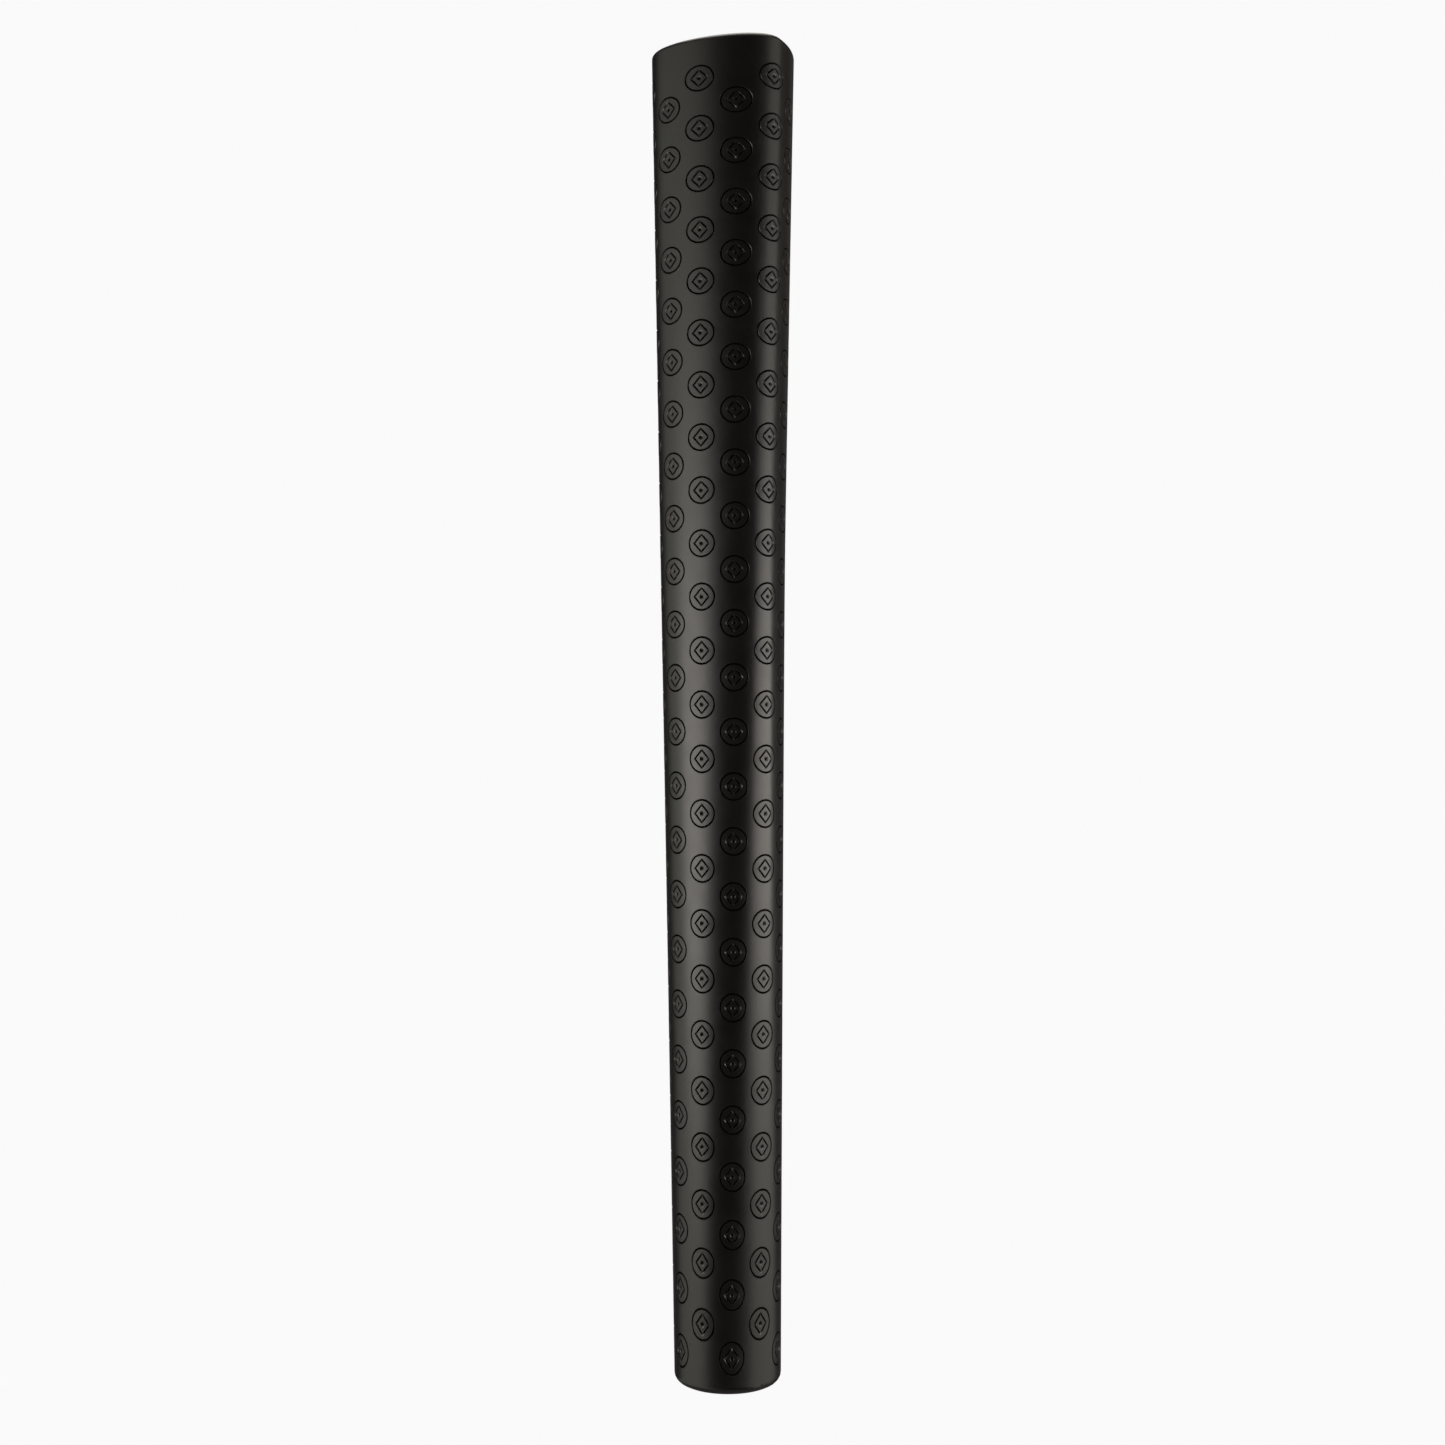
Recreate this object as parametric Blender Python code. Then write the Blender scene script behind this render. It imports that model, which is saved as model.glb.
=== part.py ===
"""A 10.5 inch oversize pistol putter grip: a polyurethane skin wrapped round a felt-backed
moulded core, closed by a butt cap at the top and a collar at the mouth.

Metres, +Z up. The origin is the centre of the shaft bore at the mouth, the lower end.
The flat thumb face looks along -Y and the rounded pistol back along +Y."""

import math

import bmesh
import bpy

MM = 0.001

# Whole grip
LENGTH = 266.7 * MM
WAIST = 0.62 * LENGTH  # height where the pistol heel ends and the lower taper starts
WAIST_BLEND = 10 * MM  # how softly the two tapers meet there

# Outside section at the mouth, the waist and the butt. Each section is two half ellipses
# that share one width: a flat front one and a deep back one. widest is how far the widest
# line lies in front of the shaft's axis.
HALF_WIDTH = (10.7 * MM, 12.4 * MM, 14.2 * MM)
FRONT = (10.7 * MM, 11.1 * MM, 12.3 * MM)
BACK = (10.7 * MM, 12.9 * MM, 15.1 * MM)
WIDEST = (0.0, 4.7 * MM, 4.9 * MM)

# Layers, as distances in from the outside
GAP = 0.3 * MM
SKIN_WALL = 1.0 * MM
FELT_OUTSIDE = SKIN_WALL + GAP
FELT_WALL = 0.5 * MM
CORE_OUTSIDE = FELT_OUTSIDE + FELT_WALL + GAP

# Rounded ends, where the skin is turned in
BUTT_ROUND = 1.3 * MM
MOUTH_ROUND = 1.8 * MM

# Seam down the back
SEAM_SLOT = 2.2 * MM
SEAM_STRIP = SEAM_SLOT - 2 * GAP
FELT_SLOT = 0.8 * MM
SEAM_REGION = (4.0 * MM, 30.0 * MM)  # from front to back: takes in the back walls only
PAST_ENDS = 5.0 * MM  # how far a cutter runs past both ends of the grip

# Bore for a 0.580 inch (14.73 mm) putter shaft
BORE_RADIUS = 7.4 * MM

# Butt cap
CAP_RECESS = 0.3 * MM  # its top lies this far below the skin's rim
CAP_EDGE = 0.4 * MM
CAP_SHOULDER = 1.1 * MM
CAP_PLATE = 2.7 * MM
SPIGOT_LENGTH = 11.0 * MM
SPIGOT_RADIUS = BORE_RADIUS - GAP
SPIGOT_INSIDE = 5.0 * MM
VENT_RADIUS = 1.5 * MM
VENT_COUNTERSINK = 0.6 * MM

# Collar at the mouth
COLLAR_FLANGE_RADIUS = 9.2 * MM
COLLAR_FLANGE = 1.0 * MM
COLLAR_CHAMFER = 0.4 * MM
COLLAR_BEVEL = 0.15 * MM

SIDES = 48
ROUND_STEPS = 4
BODY_SHARES = (0.0, 0.2, 0.4, 0.53, 0.58, 0.62, 0.66, 0.71, 0.85, 1.0)  # closest at the waist
CREASE_ANGLE = math.radians(35)


def clear_scene():
    for thing in list(bpy.data.objects):
        bpy.data.objects.remove(thing, do_unlink=True)


def softened_corner(height):
    """How far a height is above the waist, from 0 well below it, with the corner rounded."""
    above = height - WAIST
    return (above + math.hypot(above, WAIST_BLEND)) / 2


def along(values, height):
    """A size at this height, from its values at the mouth, the waist and the butt."""
    mouth, waist, butt = values
    lower_slope = (waist - mouth) / WAIST
    upper_slope = (butt - waist) / (LENGTH - WAIST)
    return mouth + lower_slope * height + (upper_slope - lower_slope) * softened_corner(height)


def section_point(angle, height, inset):
    """A point of the section at this height, inset from the outside. Angle 0 is the front."""
    half_width = along(HALF_WIDTH, height) - inset
    widest = along(WIDEST, height)
    forward = math.cos(angle)
    if forward > 0:
        depth = along(FRONT, height) - inset - widest
    else:
        depth = along(BACK, height) - inset + widest
    return half_width * math.sin(angle), -(widest + depth * forward), height


def section_loop(height, inset=0.0, at_height=None):
    """The section at a height. at_height shapes it as the section of another height."""
    shaped_by = height if at_height is None else at_height

    def point(angle):
        x, y, _ = section_point(angle, shaped_by, inset)
        return x, y, height

    return point


def round_loop(height, radius):
    """A circle round the shaft's axis."""
    return lambda angle: (radius * math.sin(angle), -radius * math.cos(angle), height)


def ring_solid(name, loops):
    """A closed tube-like solid through these loops in turn, and from the last to the first."""
    mesh = bmesh.new()
    ring = bmesh.ops.create_circle(mesh, cap_ends=False, segments=SIDES, radius=1.0)["verts"]
    place(ring, loops[0])
    for loop in loops[1:] + loops[:1]:
        ring = next_ring(mesh, ring)
        place(ring, loop)
    bmesh.ops.remove_doubles(mesh, verts=mesh.verts, dist=0.001 * MM)
    bmesh.ops.recalc_face_normals(mesh, faces=mesh.faces)
    if mesh.calc_volume(signed=True) < 0:
        bmesh.ops.reverse_faces(mesh, faces=mesh.faces)
    return finished_object(name, mesh)


def next_ring(mesh, ring):
    """Extrudes a ring of vertices and returns the new ones in the same order."""
    edges = [mesh.edges.get((a, b)) for a, b in zip(ring, ring[1:] + ring[:1])]
    made = set(bmesh.ops.extrude_edge_only(mesh, edges=edges)["geom"])
    return [next(e.other_vert(v) for e in v.link_edges if e.other_vert(v) in made) for v in ring]


def place(ring, loop):
    for index, vertex in enumerate(ring):
        vertex.co = loop(2 * math.pi * index / len(ring))


def seam_block(name, width):
    """A hidden box of this width along the whole seam, centred on the YZ plane."""
    front, back = SEAM_REGION
    mesh = bmesh.new()
    bmesh.ops.create_cube(mesh, size=1.0)
    bmesh.ops.scale(mesh, vec=(width, back - front, LENGTH + 2 * PAST_ENDS), verts=mesh.verts)
    bmesh.ops.translate(mesh, vec=(0.0, (front + back) / 2, LENGTH / 2), verts=mesh.verts)
    helper = finished_object(name, mesh)
    helper.hide_render = True
    helper.display_type = "WIRE"
    return helper


def finished_object(name, mesh):
    data = bpy.data.meshes.new(name)
    mesh.to_mesh(data)
    mesh.free()
    made = bpy.data.objects.new(name, data)
    bpy.context.scene.collection.objects.link(made)
    return made


def boolean(target, helper, operation):
    modifier = target.modifiers.new(helper.name, "BOOLEAN")
    modifier.operation = operation
    modifier.solver = "EXACT"
    modifier.object = helper


def give_material(made, colour, roughness):
    material = bpy.data.materials.new(made.name)
    material.use_nodes = True
    shader = material.node_tree.nodes["Principled BSDF"]
    shader.inputs["Base Color"].default_value = (*colour, 1.0)
    shader.inputs["Roughness"].default_value = roughness
    shader.inputs["Metallic"].default_value = 0.0
    made.data.materials.append(material)
    made.data.shade_smooth()
    made.data.set_sharp_from_angle(angle=CREASE_ANGLE)


def body_heights(bottom, top):
    """Heights of the loops between two ends: closer together where the two tapers meet."""
    return [bottom + share * (top - bottom) for share in BODY_SHARES]


def turned_end(middle, radius, corner_inset, towards):
    """Loops of a rounded end, from its side round to its end face. towards is 1 up, -1 down."""
    loops = []
    for step in range(1, ROUND_STEPS + 1):
        turn = math.pi / 2 * step / ROUND_STEPS
        height = middle + towards * radius * math.sin(turn)
        loops.append(section_loop(height, corner_inset - radius * math.cos(turn), middle))
    return loops


def wrapped_skin(name):
    """The full skin before its seam is cut: outside up, over the butt, inside down, mouth."""
    mouth_middle = MOUTH_ROUND
    butt_middle = LENGTH - BUTT_ROUND
    heights = body_heights(mouth_middle, butt_middle)
    outside = [section_loop(height) for height in heights]
    butt_outside = turned_end(butt_middle, BUTT_ROUND, BUTT_ROUND, 1)
    butt_inside = turned_end(butt_middle, BUTT_ROUND - SKIN_WALL, BUTT_ROUND, 1)
    inside = [section_loop(height, SKIN_WALL) for height in heights]
    mouth_inside = turned_end(mouth_middle, MOUTH_ROUND - SKIN_WALL, MOUTH_ROUND, -1)
    mouth_outside = turned_end(mouth_middle, MOUTH_ROUND, MOUTH_ROUND, -1)
    loops = outside + butt_outside + butt_inside[::-1] + inside[::-1] + mouth_inside
    return ring_solid(name, loops + mouth_outside[::-1])


def outer_skin():
    """Debossed polyurethane panel, wrapped round with its edges facing at the back."""
    skin = wrapped_skin("outer_skin")
    boolean(skin, seam_block("seam_slot_cutter", SEAM_SLOT), "DIFFERENCE")
    give_material(skin, (0.018, 0.017, 0.016), 0.42)


def seam_filler():
    """Polyurethane bead that fills the slot between the skin's two edges."""
    strip = wrapped_skin("seam_filler")
    boolean(strip, seam_block("seam_strip_keeper", SEAM_STRIP), "INTERSECT")
    give_material(strip, (0.015, 0.014, 0.014), 0.5)


def felt_backing():
    """Non-woven felt layer under the skin, its edges facing at the back."""
    heights = body_heights(felt_bottom(), layers_top())
    outside = [section_loop(height, FELT_OUTSIDE) for height in heights]
    inside = [section_loop(height, FELT_OUTSIDE + FELT_WALL) for height in heights]
    felt = ring_solid("felt_backing", outside + inside[::-1])
    boolean(felt, seam_block("felt_slot_cutter", FELT_SLOT), "DIFFERENCE")
    give_material(felt, (0.55, 0.53, 0.48), 0.95)


def collar_top():
    return SKIN_WALL + GAP + COLLAR_FLANGE


def felt_bottom():
    return collar_top() + GAP


def layers_top():
    return LENGTH - CAP_RECESS - CAP_PLATE - GAP


def underlisting():
    """Moulded foam-rubber core: the sleeve that carries the shape and grips the shaft."""
    heights = body_heights(felt_bottom(), layers_top())
    outside = [section_loop(height, CORE_OUTSIDE) for height in heights]
    bore = [round_loop(height, BORE_RADIUS) for height in (heights[-1], heights[0])]
    core = ring_solid("underlisting", outside + bore)
    give_material(core, (0.06, 0.06, 0.065), 0.85)


def butt_cap():
    """Rubber cap: a flanged plate in the skin's rim, a hollow spigot in the bore, a vent."""
    top = LENGTH - CAP_RECESS
    shoulder = top - CAP_SHOULDER
    underside = top - CAP_PLATE
    spigot_end = underside - SPIGOT_LENGTH
    plate_inset = BUTT_ROUND + GAP
    cap = ring_solid(
        "butt_cap",
        [
            round_loop(top - VENT_COUNTERSINK, VENT_RADIUS),
            round_loop(top, VENT_RADIUS + VENT_COUNTERSINK),
            section_loop(top, plate_inset + CAP_EDGE),
            section_loop(top - CAP_EDGE, plate_inset),
            section_loop(shoulder, plate_inset),
            section_loop(shoulder, SKIN_WALL + GAP),
            section_loop(underside, SKIN_WALL + GAP),
            round_loop(underside, SPIGOT_RADIUS),
            round_loop(spigot_end + CAP_EDGE, SPIGOT_RADIUS),
            round_loop(spigot_end, SPIGOT_RADIUS - CAP_EDGE),
            round_loop(spigot_end, SPIGOT_INSIDE),
            round_loop(underside, SPIGOT_INSIDE),
            round_loop(underside, VENT_RADIUS),
        ],
    )
    give_material(cap, (0.02, 0.02, 0.02), 0.55)


def mouth_collar():
    """Rubber ring that holds the skin's turned-in edge at the mouth."""
    lower_radius = HALF_WIDTH[0] - MOUTH_ROUND - GAP
    step = SKIN_WALL + GAP
    collar = ring_solid(
        "mouth_collar",
        [
            round_loop(0.0, BORE_RADIUS + COLLAR_CHAMFER),
            round_loop(0.0, lower_radius - COLLAR_BEVEL),
            round_loop(COLLAR_BEVEL, lower_radius),
            round_loop(step, lower_radius),
            round_loop(step, COLLAR_FLANGE_RADIUS - COLLAR_BEVEL),
            round_loop(step + COLLAR_BEVEL, COLLAR_FLANGE_RADIUS),
            round_loop(collar_top(), COLLAR_FLANGE_RADIUS),
            round_loop(collar_top(), BORE_RADIUS),
            round_loop(COLLAR_CHAMFER, BORE_RADIUS),
        ],
    )
    give_material(collar, (0.02, 0.02, 0.02), 0.6)


def main():
    clear_scene()
    outer_skin()
    seam_filler()
    felt_backing()
    underlisting()
    butt_cap()
    mouth_collar()


main()
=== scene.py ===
"""Oversize pistol putter grip: an embossed polyurethane skin wrapped round a felt-backed
moulded core, with a seam bead down the back, a butt cap and a mouth collar.

Metres, +Z up the shaft bore from the mouth to the butt, the flat thumb face along -Y and the
rounded pistol back along +Y."""

import math
from collections import namedtuple
from functools import cache

import bmesh
import bpy
import numpy as np
from bpy.props import FloatProperty, FloatVectorProperty, IntProperty, PointerProperty
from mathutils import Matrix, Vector


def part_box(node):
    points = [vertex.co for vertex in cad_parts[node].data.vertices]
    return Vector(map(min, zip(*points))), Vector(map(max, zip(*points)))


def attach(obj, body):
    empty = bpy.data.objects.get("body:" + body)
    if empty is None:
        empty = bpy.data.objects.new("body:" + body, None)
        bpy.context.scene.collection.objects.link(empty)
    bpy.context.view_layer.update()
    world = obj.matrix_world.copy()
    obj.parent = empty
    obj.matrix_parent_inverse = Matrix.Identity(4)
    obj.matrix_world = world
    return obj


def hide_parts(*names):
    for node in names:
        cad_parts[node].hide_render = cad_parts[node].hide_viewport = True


bl_info = {
    "name": "Embossed Putter Grip",
    "version": (1, 0, 0),
    "blender": (4, 5, 0),
    "location": "View3D > Sidebar > Putter Grip",
    "description": "Builds an embossed putter grip piece by piece, and a studio round it",
    "category": "Add Mesh",
}

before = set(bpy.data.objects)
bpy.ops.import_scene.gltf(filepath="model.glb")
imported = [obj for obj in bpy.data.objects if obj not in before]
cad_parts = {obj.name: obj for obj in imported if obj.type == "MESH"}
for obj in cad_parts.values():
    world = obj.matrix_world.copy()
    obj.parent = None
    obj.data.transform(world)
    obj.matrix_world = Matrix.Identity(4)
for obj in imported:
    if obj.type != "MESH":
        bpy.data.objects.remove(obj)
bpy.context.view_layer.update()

MM = 0.001
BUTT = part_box("outer_skin")[1].z  # height of the skin's upper rim; its lower one is at 0
MIDDLE = BUTT / 2

# Meshes
CELL_STEPS_ACROSS = 6  # edges along the top and the bottom of a cell of the pattern
CELL_STEPS_DOWN = 4  # edges down each side of it, an even number
CELL_STEPS = 2 * (CELL_STEPS_ACROSS + CELL_STEPS_DOWN)
ROUND_STEPS = 5  # edges round each turned-in end of the skin
BEAD_STEPS = 4  # edges from the middle of the seam bead to its side
BODY_STEPS = 28  # edges along the inside of the skin, and along the seam bead
SIDES = 96  # edges round a turned or moulded piece
TURNS = [2 * math.pi * side / SIDES for side in range(SIDES)]
ARC_STEPS = 180  # straight steps that half a section's length is measured in
TURN_STEP = 0.01  # angle to each side of a place, in radians, for the slope of the surface
HEIGHT_STEP = 0.05 * MM  # height above and below the place, for the same
WELD = 0.001 * MM  # vertices of a turned piece that are closer than this are one
SKIN_WELD = 0.01 * MM  # the same where the skin's outline closes
FLAT_WELD = 0.001  # the same in the flat pattern, in columns and rows
CREASE = math.radians(30)  # the surface looks sharp where it turns by more than this
PLAIN = math.cos(math.radians(20))  # a face that leans less than this from the shape is plain

# Pattern
MARK_BOLDNESS = 1.4  # how much wider the lozenge's groove is than the ring's
COLUMN_TO_PITCH = 0.7  # roughly the column spacing over the pitch
STRETCH_POWER = 16  # high, so that only the rows next to the mouth are stretched

# Seam bead
BEAD_GAP = 0.1 * MM  # hairline on each side of it
BEAD_CROWN = 0.22 * MM  # how much lower its sides lie than its middle

# Butt cap
CAP_EDGE = 0.4 * MM
CAP_SHOULDER = 1.1 * MM
CAP_PLATE = 2.7 * MM
CAP_SPIGOT = 7.1 * MM
CAP_SPIGOT_INSIDE = 5.0 * MM
CAP_VENT = 1.5 * MM
CAP_VENT_SINK = 0.6 * MM
CAP_CHANNEL = 6.2 * MM  # radius of the shallow ring channel in its face
CAP_CHANNEL_WIDTH = 0.7 * MM
CAP_CHANNEL_DEPTH = 0.25 * MM
CAP_SOFT = 0.1 * MM

# Mouth collar
COLLAR_BORE = 7.4 * MM
COLLAR_CHAMFER = 0.4 * MM
COLLAR_SOFT = 0.12 * MM

# Studio
BOWL_RADIUS = 6.0
DUSK = 0.008  # what the grip reflects where no lamp is, because the bowl is hidden from it
WARM = (1.0, 0.93, 0.88)
GREENISH = (0.99, 1.0, 0.88)

# A flat lamp: degrees round from the camera and up, its distance from the grip and its size in
# metres, the setting that gives its radiance, its share of that, and its colour
Lamp = namedtuple("Lamp", "name turn rise distance width height glow share colour")
LAMPS = (
    Lamp("left_softbox", -66, -3, 0.8, 0.5, 0.26, "softbox_glow", 1.0, WARM),
    Lamp("right_softbox", 66, -3, 0.8, 1.15, 0.27, "softbox_glow", 0.88, WARM),
    Lamp("left_panel", -81, -3, 1.1, 1.55, 1.3, "panel_glow", 0.98, GREENISH),
    Lamp("right_panel", 85, -3, 1.1, 1.6, 1.3, "panel_glow", 1.0, GREENISH),
    Lamp("overhead", 180, 70, 0.9, 0.5, 0.5, "overhead_glow", 1.0, WARM),
    Lamp("canopy", 0, 88, 1.3, 2.2, 2.2, "panel_glow", 0.3, WARM),
    Lamp("back_panel", 180, 0, 1.3, 1.6, 1.6, "panel_glow", 0.22, WARM),
    Lamp("floor_bounce", 0, -88, 0.45, 0.9, 0.9, "panel_glow", 0.25, WARM),
)

# One level of a piece: its height, how far in from the outside it lies, and the height of the
# section that it follows
Loop = namedtuple("Loop", "height inset shaped_by")


# Sizes and colours that a user would change


class GripShape(bpy.types.PropertyGroup):
    """Outside of the grip. Each size is given at the mouth, the waist and the butt."""

    half_width: FloatVectorProperty(
        name="Half Width",
        description="Half the width of the section",
        size=3,
        default=(10.7 * MM, 12.4 * MM, 14.2 * MM),
        unit="LENGTH",
    )
    front: FloatVectorProperty(
        name="Front",
        description="From the shaft's axis to the thumb face",
        size=3,
        default=(10.7 * MM, 11.1 * MM, 12.3 * MM),
        unit="LENGTH",
    )
    back: FloatVectorProperty(
        name="Back",
        description="From the shaft's axis to the pistol back",
        size=3,
        default=(10.7 * MM, 12.9 * MM, 15.1 * MM),
        unit="LENGTH",
    )
    widest: FloatVectorProperty(
        name="Widest",
        description="How far the widest line lies in front of the shaft's axis",
        size=3,
        default=(0.0, 4.7 * MM, 4.9 * MM),
        unit="LENGTH",
    )
    waist: FloatProperty(
        name="Waist",
        description="Height where the pistol heel ends",
        default=0.62 * BUTT,
        unit="LENGTH",
    )
    waist_blend: FloatProperty(
        name="Waist Blend",
        description="How softly the two tapers meet at the waist",
        default=10 * MM,
        unit="LENGTH",
    )
    wall: FloatProperty(
        name="Skin Wall",
        description="Thickness of the skin",
        default=1.0 * MM,
        unit="LENGTH",
    )
    butt_round: FloatProperty(
        name="Butt Round",
        description="Radius that the skin is turned in by at the butt",
        default=1.3 * MM,
        unit="LENGTH",
    )
    mouth_round: FloatProperty(
        name="Mouth Round",
        description="Radius that the skin is turned in by at the mouth",
        default=1.8 * MM,
        unit="LENGTH",
    )
    seam_slot: FloatProperty(
        name="Seam Slot",
        description="Width between the two edges of the skin at the back",
        default=2.2 * MM,
        unit="LENGTH",
    )
    gap: FloatProperty(
        name="Gap",
        description="Clearance between neighbouring pieces",
        default=0.3 * MM,
        unit="LENGTH",
    )


class RingPattern(bpy.types.PropertyGroup):
    """Embossed rings in staggered columns, each round a broken lozenge and a dot."""

    columns: IntProperty(
        name="Columns",
        description="Columns of rings, the middle one on the thumb face",
        default=11,
    )
    columns_round: FloatProperty(
        name="Columns Round",
        description="Column spacings that fill the whole way round, the seam's gap included",
        default=11.3,
    )
    rows: IntProperty(
        name="Rows",
        description="Rings in each column",
        default=24,
    )
    first_row: FloatProperty(
        name="First Row",
        description="Height of the uppermost ring in the middle column",
        default=258.4 * MM,
        unit="LENGTH",
    )
    pitch: FloatProperty(
        name="Pitch",
        description="Distance from row to row at the uppermost ring",
        default=9.72 * MM,
        unit="LENGTH",
    )
    pitch_growth: FloatProperty(
        name="Pitch Growth",
        description="How much the pitch grows per row at the uppermost ring",
        default=0.0978 * MM,
        unit="LENGTH",
    )
    growth_fall: FloatProperty(
        name="Growth Fall",
        description="How much the growth of the pitch falls per row",
        default=0.00335 * MM,
        unit="LENGTH",
    )
    mouth_stretch: FloatProperty(
        name="Mouth Stretch",
        description="How much further down the lower edge of the last row is pulled",
        default=2.76 * MM,
        unit="LENGTH",
    )
    ring_width: FloatProperty(
        name="Ring Width",
        description="Half the width of a ring, as a share of the column spacing",
        default=0.405,
        subtype="FACTOR",
    )
    ring_height: FloatProperty(
        name="Ring Height",
        description="Half the height of a ring, as a share of the pitch",
        default=0.25,
        subtype="FACTOR",
    )
    mark_width: FloatProperty(
        name="Mark Width",
        description="Half the width of the lozenge, as a share of the column spacing",
        default=0.235,
        subtype="FACTOR",
    )
    mark_height: FloatProperty(
        name="Mark Height",
        description="Half the height of the lozenge, as a share of the pitch",
        default=0.165,
        subtype="FACTOR",
    )
    dot: FloatProperty(
        name="Dot",
        description="Radius of the dot, as a share of the lozenge",
        default=0.3,
        subtype="FACTOR",
    )
    groove_width: FloatProperty(
        name="Groove Width",
        description="Half the width of a groove, as a share of the column spacing",
        default=0.028,
        subtype="FACTOR",
    )
    groove_depth: FloatProperty(
        name="Groove Depth",
        description="Depth of a groove",
        default=0.28 * MM,
        unit="LENGTH",
    )


class GripFinish(bpy.types.PropertyGroup):
    """Colours and roughness of the materials."""

    skin_colour: FloatVectorProperty(
        name="Skin",
        description="Colour of the polyurethane skin",
        subtype="COLOR",
        size=3,
        default=(0.0055, 0.004, 0.0045),
    )
    # Painted shade: this darker colour is laid into the bottoms of the grooves to stand in for the
    # shade that falls down in them
    groove_shade_colour: FloatVectorProperty(
        name="Groove",
        description="Colour at the bottom of the embossing",
        subtype="COLOR",
        size=3,
        default=(0.0015, 0.0015, 0.0015),
    )
    skin_roughness: FloatProperty(
        name="Skin Roughness",
        description="Roughness of the skin's satin surface",
        default=0.36,
        subtype="FACTOR",
    )
    rubber_colour: FloatVectorProperty(
        name="Rubber",
        description="Colour of the butt cap and the mouth collar",
        subtype="COLOR",
        size=3,
        default=(0.02, 0.02, 0.02),
    )
    felt_colour: FloatVectorProperty(
        name="Felt",
        description="Colour of the felt under the skin",
        subtype="COLOR",
        size=3,
        default=(0.42, 0.40, 0.36),
    )
    core_colour: FloatVectorProperty(
        name="Core",
        description="Colour of the moulded core",
        subtype="COLOR",
        size=3,
        default=(0.05, 0.05, 0.053),
    )


class Studio(bpy.types.PropertyGroup):
    """Camera, lights and floor."""

    camera_turn: FloatProperty(
        name="Camera Turn",
        description="How far the camera stands round from the thumb face, towards +X",
        default=math.radians(27.8),
        subtype="ANGLE",
    )
    camera_distance: FloatProperty(
        name="Camera Distance",
        description="From the shaft's axis to the camera",
        default=0.404,
        unit="LENGTH",
    )
    camera_height: FloatProperty(
        name="Camera Height",
        description="Height of the level camera above the mouth",
        default=0.13215,
        unit="LENGTH",
    )
    camera_side: FloatProperty(
        name="Camera Side",
        description="How far the camera stands to its left of a line through the shaft's axis",
        default=1.05 * MM,
        unit="LENGTH",
    )
    lens: FloatProperty(
        name="Lens",
        description="Focal length of the camera",
        default=50.0,
        unit="CAMERA",
    )
    floor_depth: FloatProperty(
        name="Floor Depth",
        description="How far below the mouth the studio floor lies",
        default=0.35,
        unit="LENGTH",
    )
    softbox_glow: FloatProperty(
        name="Softbox Glow",
        description="Radiance of the low, bright softbox on each side",
        default=2.95,
    )
    panel_glow: FloatProperty(
        name="Panel Glow",
        description="Radiance of the tall, dim panel on each side; fill lamps have a share of it",
        default=0.54,
    )
    overhead_glow: FloatProperty(
        name="Overhead Glow",
        description="Radiance of the lamp above and behind",
        default=3.0,
    )
    backdrop_white: FloatProperty(
        name="Backdrop White",
        description="Brightness of the floor and the backdrop",
        default=0.955,
    )


# Shape of the grip


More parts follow.
